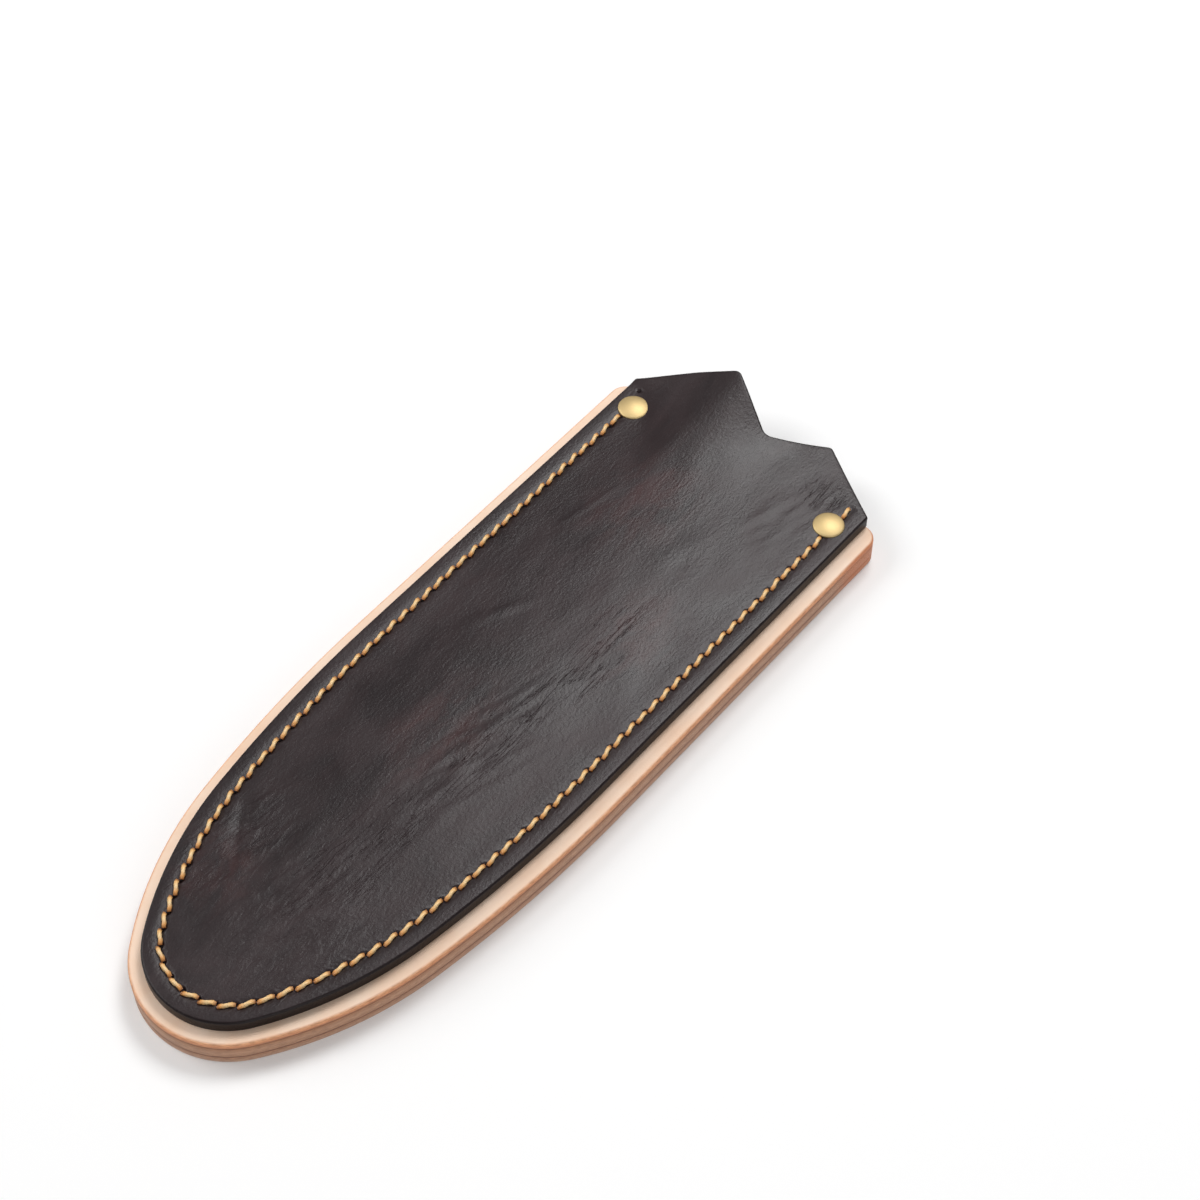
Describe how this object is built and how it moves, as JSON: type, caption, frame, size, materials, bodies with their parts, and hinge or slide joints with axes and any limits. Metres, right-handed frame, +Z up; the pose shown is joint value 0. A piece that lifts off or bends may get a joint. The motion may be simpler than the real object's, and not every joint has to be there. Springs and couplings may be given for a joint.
{
  "type": "knife blade guard",
  "caption": "Slip-on blade guard of layered leather: a dark front panel with a cut-out mouth, stitched and riveted over a natural leather stack.",
  "frame": {"origin": "under the middle of the guard, on the surface that its back lies on", "axes": "+Y from the closed tip to the open mouth, +X to the right seen from above the front panel, +Z up out of the front panel"},
  "size_m": [0.0766, 0.2078, 0.0174],
  "materials": {
    "dark_leather": "oiled and lightly polished, dark brown to black with a burgundy cast",
    "natural_leather": "undyed vegetable-tanned, smooth top, burnished edges",
    "waxed_thread": "waxed golden tan twist",
    "brushed_brass": "fine brushed",
    "plain_brass": "plain drawn"
  },
  "bodies": {
    "root": {"front_panel": "dark_leather", "border_layer": "natural_leather", "welt": "natural_leather", "back_panel": "natural_leather", "stitching_front": "waxed_thread", "stitching_back": "waxed_thread", "rivet_cap_left": "brushed_brass", "rivet_socket_left": "plain_brass", "rivet_post_left": "plain_brass", "rivet_back_cap_left": "brushed_brass", "rivet_cap_right": "brushed_brass", "rivet_socket_right": "plain_brass", "rivet_post_right": "plain_brass", "rivet_back_cap_right": "brushed_brass"}
  },
  "joints": []
}
